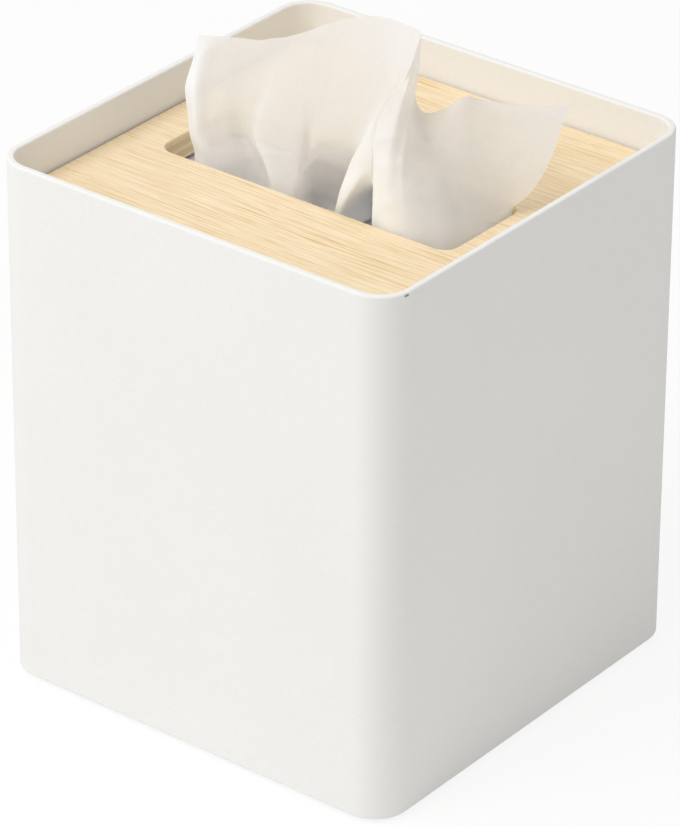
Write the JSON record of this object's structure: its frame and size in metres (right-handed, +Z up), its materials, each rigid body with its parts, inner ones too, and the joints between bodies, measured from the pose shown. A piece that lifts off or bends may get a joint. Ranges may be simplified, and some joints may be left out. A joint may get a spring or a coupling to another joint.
{
  "type": "square tissue box",
  "caption": "Square steel tissue box cover with rounded corners and a recessed plywood lid, a cube carton inside and a tissue pulled up through the slot.",
  "frame": {"origin": "middle of the square footprint, on the surface that the rubber pads stand on", "axes": "+Z up, +X along the lid's slot and wood grain towards the side wall that the tissue leans to, -Y towards the front"},
  "size_m": [0.13, 0.13, 0.1937],
  "materials": {
    "case_coat": "fine matt off-white powder coat on sheet steel",
    "lid_wood": "pale ash veneer plywood, clear matt lacquer",
    "pad_rubber": "matt dark grey rubber",
    "carton_card": "plain pale lilac coated card",
    "film_clear": "thin translucent film",
    "tissue_paper": "soft two-layer tissue paper, slightly translucent"
  },
  "bodies": {
    "root": {"case_shell": "case_coat", "base_pan": "case_coat", "ledge_right": "case_coat", "ledge_back": "case_coat", "ledge_left": "case_coat", "ledge_front": "case_coat", "foot_pad_1": "pad_rubber", "foot_pad_2": "pad_rubber", "foot_pad_3": "pad_rubber", "foot_pad_4": "pad_rubber", "lid_board": "lid_wood", "tissue_carton": "carton_card", "slit_film": "film_clear", "tissue_stack": "tissue_paper", "pulled_tissue": "tissue_paper"}
  },
  "joints": []
}
